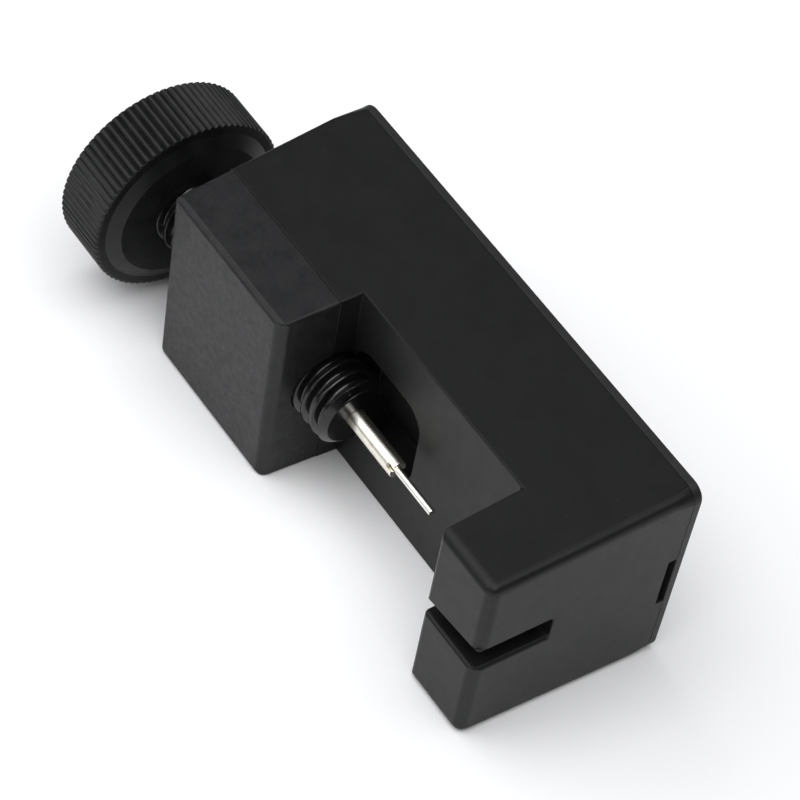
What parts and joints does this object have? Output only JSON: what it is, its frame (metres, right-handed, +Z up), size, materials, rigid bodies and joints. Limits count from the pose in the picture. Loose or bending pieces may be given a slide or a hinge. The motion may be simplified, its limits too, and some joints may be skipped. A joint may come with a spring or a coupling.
{
  "type": "watch bracelet link pin press",
  "caption": "Hand screw press with a C-shaped moulded body that pushes the link pins out of a watch bracelet; slotted jaw, knurled knob, pin store in the back.",
  "frame": {"origin": "middle of the object's footprint, on the surface it rests on", "axes": "+X along the drive screw from the knob to the jaw, +Y towards the back cover, +Z up"},
  "size_m": [0.073, 0.0302, 0.0281],
  "materials": {
    "body_plastic": "satin black ABS",
    "block_plastic": "fine-grained black ABS",
    "cover_plastic": "fine-grained black ABS",
    "knob_plastic": "satin black plastic",
    "screw_plastic": "polished black plastic",
    "holder_metal": "nickel-plated, satin",
    "pin_steel": "ground"
  },
  "bodies": {
    "press_frame": {"main_body": "body_plastic", "block_cover": "block_plastic", "spare_pin_1": "pin_steel", "spare_pin_2": "pin_steel", "spare_pin_3": "pin_steel"},
    "store_lid": {"back_cover": "cover_plastic"},
    "pin_slide": {"drive_pin": "pin_steel"},
    "hand_screw": {"press_screw": "screw_plastic", "knob": "knob_plastic", "pin_holder": "holder_metal"}
  },
  "joints": [
    {"name": "screw_advance", "type": "slide", "parent": "press_frame", "child": "pin_slide", "axis": [1, 0, 0], "range_m": [-0.0191, 0.0057]},
    {"name": "screw_turn", "type": "hinge", "parent": "pin_slide", "child": "hand_screw", "pos_m": [0.0037, -0.00343, 0.01323], "axis": [1, 0, 0], "range_deg": [-4275, 1260]},
    {"name": "lid_pull", "type": "slide", "parent": "press_frame", "child": "store_lid", "axis": [0, 0.999, 0.045], "range_m": [0, 0.012]}
  ],
  "couplings": [
    {"joint": "screw_advance", "follows": "screw_turn", "m_per_rad": 0.00025465}
  ]
}
